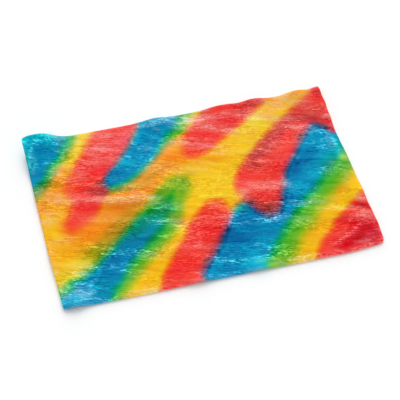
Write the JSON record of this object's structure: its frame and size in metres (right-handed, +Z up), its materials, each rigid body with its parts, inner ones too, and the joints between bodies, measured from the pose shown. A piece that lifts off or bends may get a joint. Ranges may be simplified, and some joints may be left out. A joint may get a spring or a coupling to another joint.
{
  "type": "fruit leather",
  "caption": "Oblong sheet of glossy rainbow-streaked fruit leather, lying flat with one curled corner and gently rippled edges.",
  "frame": {"origin": "on the table, under the middle of the sheet", "axes": "+X along the long side, +Y towards the back edge with the curled corner at -X, +Z up through the thickness"},
  "size_m": [0.1316, 0.0904, 0.0065],
  "materials": {
    "fruit_gel": "soft, slightly translucent fruit gel with a sticky gloss, dyed in slanting bands of blue, green, yellow and red"
  },
  "bodies": {
    "root": {"fruit_leather_sheet": "fruit_gel"}
  },
  "joints": []
}
